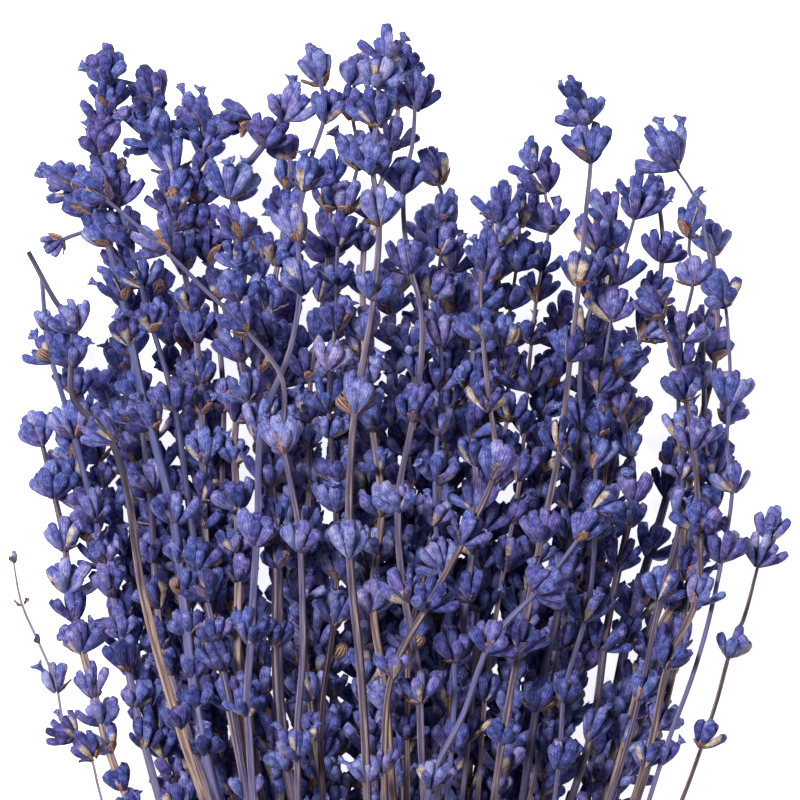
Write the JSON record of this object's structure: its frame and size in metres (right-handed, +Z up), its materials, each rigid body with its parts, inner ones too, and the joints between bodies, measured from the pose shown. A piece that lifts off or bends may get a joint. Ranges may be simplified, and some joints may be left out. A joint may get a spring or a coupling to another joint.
{
  "type": "bunch of dried lavender",
  "caption": "A tied bunch of dried blue-violet lavender, lying down, with its stems fanned out above a band of twine.",
  "frame": {"origin": "the middle of the flat low side of the twine band, where the bunch touches the surface that it lies on", "axes": "+Y runs along the stems from the tie to the flower tips, +Z is up from the surface, +X is to the right when the tips point away"},
  "size_m": [0.2008, 0.4277, 0.081],
  "materials": {
    "dried_lavender": "matte",
    "jute_twine": "matte"
  },
  "bodies": {
    "root": {"sprigs_01": "dried_lavender", "sprigs_02": "dried_lavender", "sprigs_03": "dried_lavender", "sprigs_04": "dried_lavender", "sprigs_05": "dried_lavender", "sprigs_06": "dried_lavender", "sprigs_07": "dried_lavender", "sprigs_08": "dried_lavender", "sprigs_09": "dried_lavender", "sprigs_10": "dried_lavender", "sprigs_11": "dried_lavender", "sprigs_12": "dried_lavender", "sprigs_13": "dried_lavender", "sprigs_14": "dried_lavender", "sprigs_15": "dried_lavender", "sprigs_16": "dried_lavender", "sprigs_17": "dried_lavender", "sprigs_18": "dried_lavender", "sprigs_19": "dried_lavender", "sprigs_20": "dried_lavender", "sprigs_21": "dried_lavender", "sprigs_22": "dried_lavender", "sprigs_23": "dried_lavender", "sprigs_24": "dried_lavender", "sprigs_25": "dried_lavender", "sprigs_26": "dried_lavender", "sprigs_27": "dried_lavender", "sprigs_28": "dried_lavender", "sprigs_29": "dried_lavender", "sprigs_30": "dried_lavender", "sprigs_31": "dried_lavender", "sprigs_32": "dried_lavender", "sprigs_33": "dried_lavender", "sprigs_34": "dried_lavender", "sprigs_35": "dried_lavender", "sprigs_36": "dried_lavender", "twine_tie": "jute_twine"}
  },
  "joints": []
}
